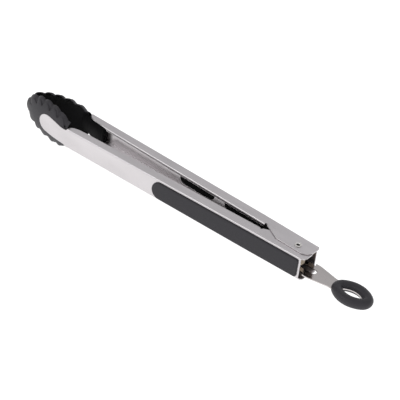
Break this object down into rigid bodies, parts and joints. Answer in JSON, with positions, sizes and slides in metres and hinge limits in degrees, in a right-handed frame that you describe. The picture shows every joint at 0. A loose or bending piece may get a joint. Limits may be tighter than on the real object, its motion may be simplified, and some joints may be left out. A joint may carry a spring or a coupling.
{
  "type": "spring-loaded kitchen tongs",
  "caption": "Spring-loaded locking kitchen tongs: channel-shaped steel arms on a hollow rivet, scalloped silicone heads, soft grips and an oval pull ring that locks them shut.",
  "frame": {"origin": "on the pivot axis, at half the height of the hollow rivet", "axes": "+Z along the hollow rivet, +X from the pivot towards the pull ring along the tongs, heads at -X, left arm at -Y and right arm at +Y"},
  "size_m": [0.3488, 0.033, 0.0368],
  "materials": {
    "steel": "fine brushed stainless sheet, bright on the bends",
    "plate_steel": "near-polished stainless plate",
    "rivet_steel": "bright turned steel",
    "spring_steel": "drawn spring wire",
    "silicone": "matt dark grey silicone",
    "soft_grip": "matt soft-touch elastomer, near black",
    "nylon": "black moulded nylon"
  },
  "bodies": {
    "pivot": {"pivot_rivet": "rivet_steel", "spacer_sleeve": "rivet_steel", "plate_bush": "nylon", "plate_washer": "rivet_steel", "torsion_spring": "spring_steel"},
    "right": {"right_arm": "steel", "right_grip_core": "nylon", "right_grip_pad": "soft_grip", "right_head_cover": "silicone", "right_head_core": "nylon"},
    "left": {"left_arm": "steel", "left_grip_core": "nylon", "left_grip_pad": "soft_grip", "left_head_cover": "silicone", "left_head_core": "nylon"},
    "pull_tab": {"pull_plate": "plate_steel", "pull_ring": "silicone"}
  },
  "joints": [
    {"name": "right_arm_open", "type": "hinge", "parent": "pivot", "child": "right", "pos_m": [0, 0, 0], "axis": [0, 0, -1], "range_deg": [0, 12], "stiffness_Nm_per_rad": 0.6, "springref_deg": 40.11},
    {"name": "left_arm_open", "type": "hinge", "parent": "pivot", "child": "left", "pos_m": [0, 0, 0], "axis": [0, 0, 1], "range_deg": [0, 12], "stiffness_Nm_per_rad": 0.6, "springref_deg": 40.11},
    {"name": "pull_tab_slide", "type": "slide", "parent": "pivot", "child": "pull_tab", "axis": [1, 0, 0], "range_m": [-0.0174, 0]}
  ],
  "couplings": [
    {"joint": "left_arm_open", "follows": "right_arm_open", "ratio": 1}
  ]
}
